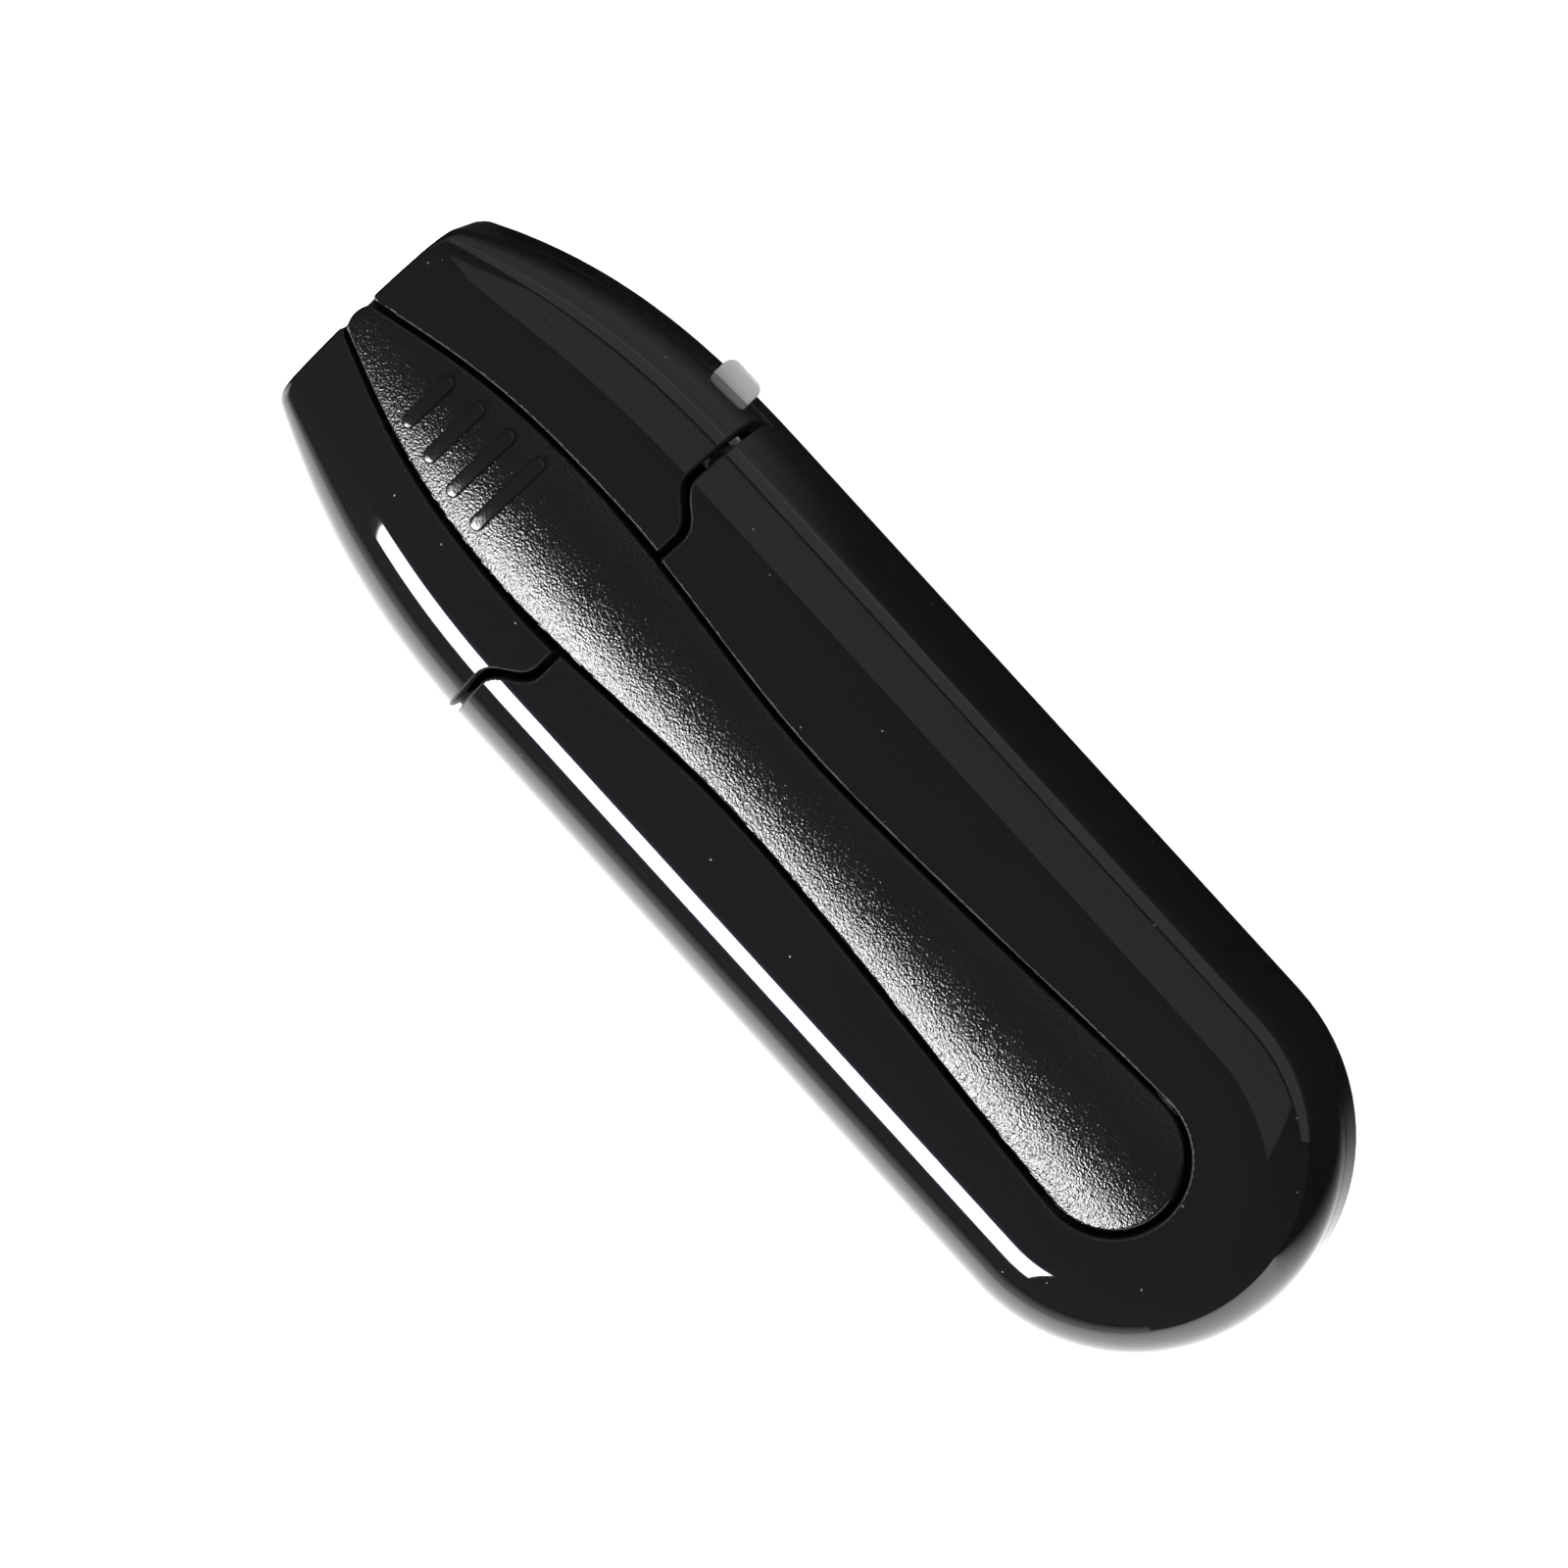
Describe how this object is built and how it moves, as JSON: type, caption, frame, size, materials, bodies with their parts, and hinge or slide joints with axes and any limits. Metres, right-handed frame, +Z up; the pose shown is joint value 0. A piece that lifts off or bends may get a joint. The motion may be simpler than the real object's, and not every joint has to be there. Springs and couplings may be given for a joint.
{
  "type": "wick trimmer",
  "caption": "Palm-sized loaf-shaped wick trimmer: pressing the ribbed top lever closes jaws inside a catch chamber; a side tab locks it and the front hood slides forward.",
  "frame": {"origin": "centre of the casing's length and width, on the flat underside", "axes": "+X along the body to the cutting mouth, +Y to the left side, +Z up out of the lever"},
  "size_m": [0.092, 0.0307, 0.0149],
  "materials": {
    "shell_gloss": "high-gloss black moulding",
    "lever_grain": "black moulding with a fine spark-eroded grain",
    "jaw_steel": "ground stainless steel",
    "satin_steel": "satin stamped steel",
    "screw_steel": "bright zinc-plated steel",
    "spring_steel": "drawn spring wire",
    "nylon": "natural nylon"
  },
  "bodies": {
    "base": {"base_tray": "shell_gloss", "rear_cover": "shell_gloss", "lever_pin": "screw_steel", "pin_clips": "spring_steel", "hinge_washers": "nylon", "hinge_bracket": "satin_steel", "bracket_screws": "screw_steel", "upper_jaw": "jaw_steel", "jaw_screws": "screw_steel", "jaw_pin": "screw_steel", "jaw_washers": "nylon", "return_spring": "spring_steel", "slider_screws": "screw_steel", "slider_washers": "spring_steel", "cover_screws": "screw_steel"},
    "lever": {"lever_cover": "lever_grain", "lever_frame": "satin_steel", "lever_rivets": "screw_steel", "press_pad": "nylon"},
    "lower_jaw": {"lower_jaw": "jaw_steel"},
    "lock": {"lock_slider": "satin_steel"},
    "hood": {"front_hood": "shell_gloss"}
  },
  "joints": [
    {"name": "lever_hinge", "type": "hinge", "parent": "base", "child": "lever", "pos_m": [-0.0313, 0, 0.0117], "axis": [0, -1, 0], "range_deg": [0, 9]},
    {"name": "jaw_hinge", "type": "hinge", "parent": "base", "child": "lower_jaw", "pos_m": [0.024, 0, 0.0052], "axis": [0, 1, 0], "range_deg": [0, 8.2], "deforming": ["return_spring"]},
    {"name": "lock_slide", "type": "slide", "parent": "base", "child": "lock", "axis": [-1, 0, 0], "range_m": [0, 0.0018]},
    {"name": "hood_slide", "type": "slide", "parent": "base", "child": "hood", "axis": [1, 0, 0], "range_m": [0, 0.018]}
  ],
  "couplings": [
    {"joint": "jaw_hinge", "follows": "lever_hinge", "ratio": 0.9069}
  ]
}
